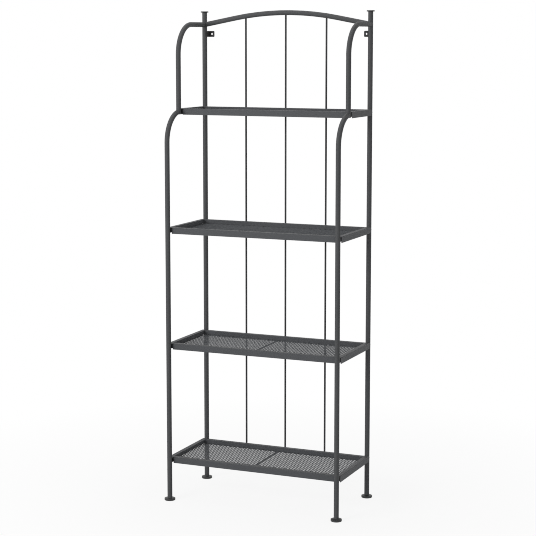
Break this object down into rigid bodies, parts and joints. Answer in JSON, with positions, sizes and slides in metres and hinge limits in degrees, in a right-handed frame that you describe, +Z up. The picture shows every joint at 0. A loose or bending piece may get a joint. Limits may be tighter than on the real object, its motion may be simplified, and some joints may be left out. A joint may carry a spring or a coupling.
{
  "type": "outdoor shelving unit",
  "caption": "Tall narrow outdoor shelving unit: bent steel tube sides, an arched back rail with thin rods, and shallow mesh trays bolted between the tubes.",
  "frame": {"origin": "on the floor, midway between the four feet", "axes": "+X to the right seen from the front, +Y to the back, +Z up"},
  "size_m": [0.6226, 0.3202, 1.6022],
  "materials": {
    "tube_coat": "fine dark grey powder coat, low sheen",
    "tray_coat": "fine dark grey powder coat, low sheen",
    "mesh_coat": "fine dark grey powder coat on welded mesh",
    "bracket_coat": "near-black powder coat",
    "block_plastic": "moulded black plastic",
    "foot_plastic": "moulded dark grey plastic",
    "cap_plastic": "moulded near-black plastic",
    "bolt_coat": "dark coated bolt head",
    "zinc": "bright zinc plate on hidden fixings"
  },
  "bodies": {
    "root": {"arch_bolts": "bolt_coat", "arch_rail": "tube_coat", "arch_spigot_left": "zinc", "arch_spigot_right": "zinc", "back_foot_left": "foot_plastic", "back_foot_right": "foot_plastic", "back_post_left": "tube_coat", "back_post_right": "tube_coat", "back_rod_centre": "tube_coat", "back_rod_left": "tube_coat", "back_rod_right": "tube_coat", "corner_blocks_bottom": "block_plastic", "corner_blocks_lower": "block_plastic", "corner_blocks_top": "block_plastic", "corner_blocks_upper": "block_plastic", "cross_bar_bottom": "tray_coat", "cross_bar_lower": "tray_coat", "cross_bar_top": "tray_coat", "cross_bar_upper": "tray_coat", "front_foot_left": "foot_plastic", "front_foot_right": "foot_plastic", "front_studs": "zinc", "joint_stud_left": "zinc", "joint_stud_right": "zinc", "lower_front_tube_left": "tube_coat", "lower_front_tube_right": "tube_coat", "mesh_deck_bottom": "mesh_coat", "mesh_deck_lower": "mesh_coat", "mesh_deck_top": "mesh_coat", "mesh_deck_upper": "mesh_coat", "post_cap_left": "cap_plastic", "post_cap_right": "cap_plastic", "rod_nuts": "zinc", "tray_bolts": "bolt_coat", "tray_nuts_bottom": "zinc", "tray_nuts_lower": "zinc", "tray_nuts_top": "zinc", "tray_nuts_upper": "zinc", "tray_rim_bottom": "tray_coat", "tray_rim_lower": "tray_coat", "tray_rim_top": "tray_coat", "tray_rim_upper": "tray_coat", "upper_front_tube_left": "tube_coat", "upper_front_tube_right": "tube_coat", "upper_tube_insert_left": "zinc", "upper_tube_insert_right": "zinc", "wall_bracket_left": "bracket_coat", "wall_bracket_right": "bracket_coat"}
  },
  "joints": []
}
